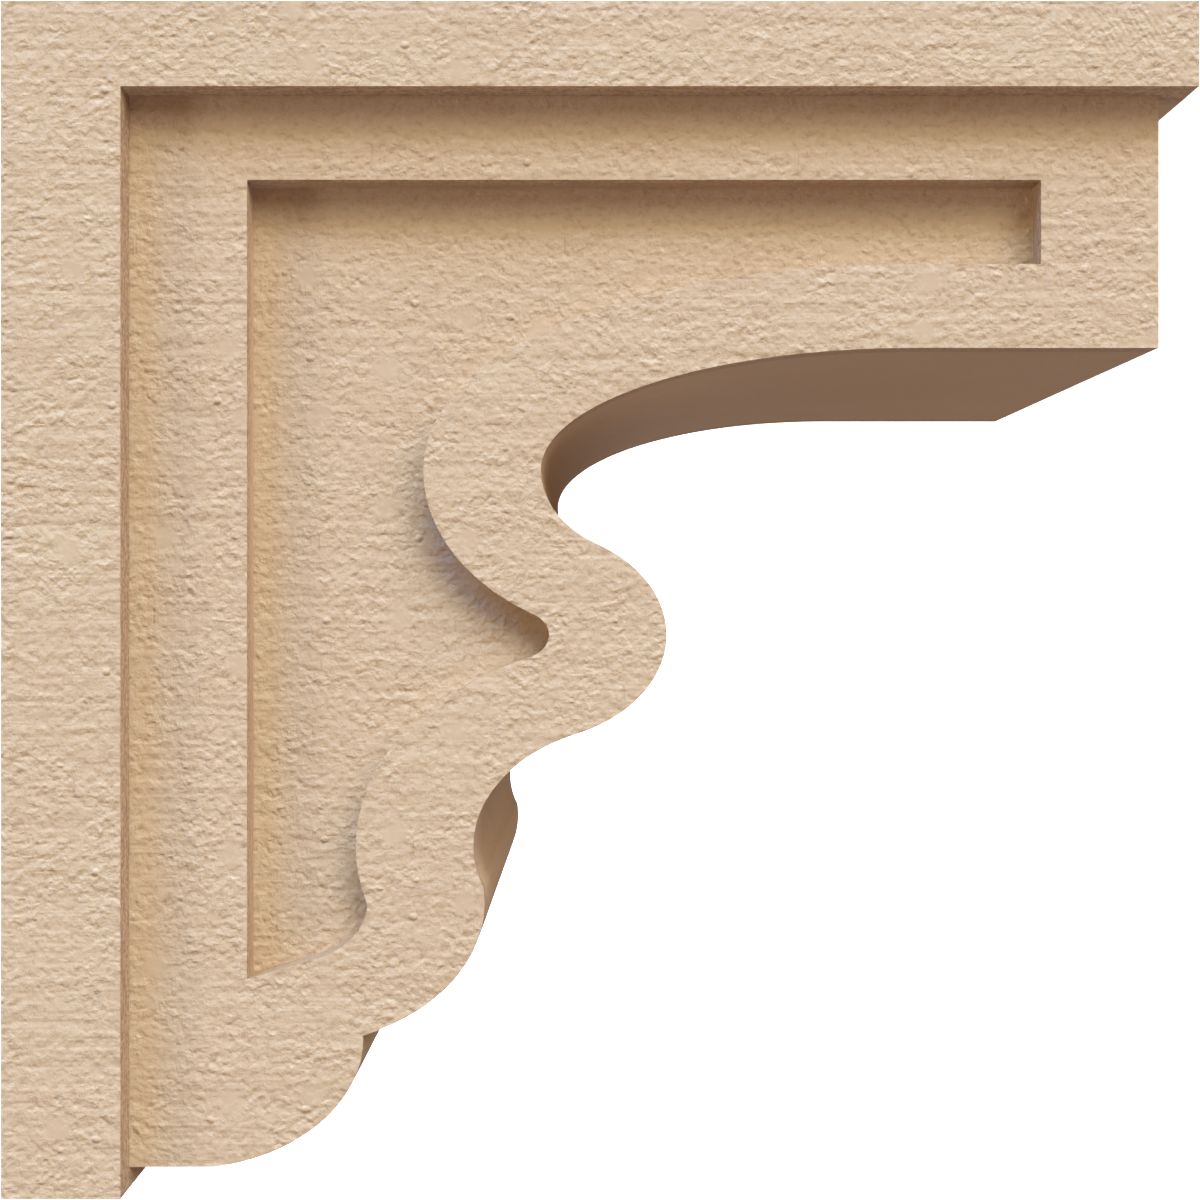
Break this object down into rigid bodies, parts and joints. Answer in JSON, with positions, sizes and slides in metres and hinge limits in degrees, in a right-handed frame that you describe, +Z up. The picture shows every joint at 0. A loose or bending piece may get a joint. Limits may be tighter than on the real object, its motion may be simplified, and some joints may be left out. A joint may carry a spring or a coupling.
{
  "type": "corbel",
  "caption": "S-curved corbel with a back plate and a projecting top plate, the set-back body carrying a sunk panel on each side, in a rough-sawn tan moulded face.",
  "frame": {"origin": "centre of the back plate's flat rear face, which goes against the wall", "axes": "+X out from the wall, +Y to the left of someone who faces out from the wall, +Z up; the top plate's flat top faces +Z and the corbel is symmetric about Y = 0"},
  "size_m": [0.3048, 0.1524, 0.3048],
  "materials": {
    "tan_primer": "matte tan primer over a moulded rough-sawn face"
  },
  "bodies": {
    "root": {"corbel": "tan_primer"}
  },
  "joints": []
}
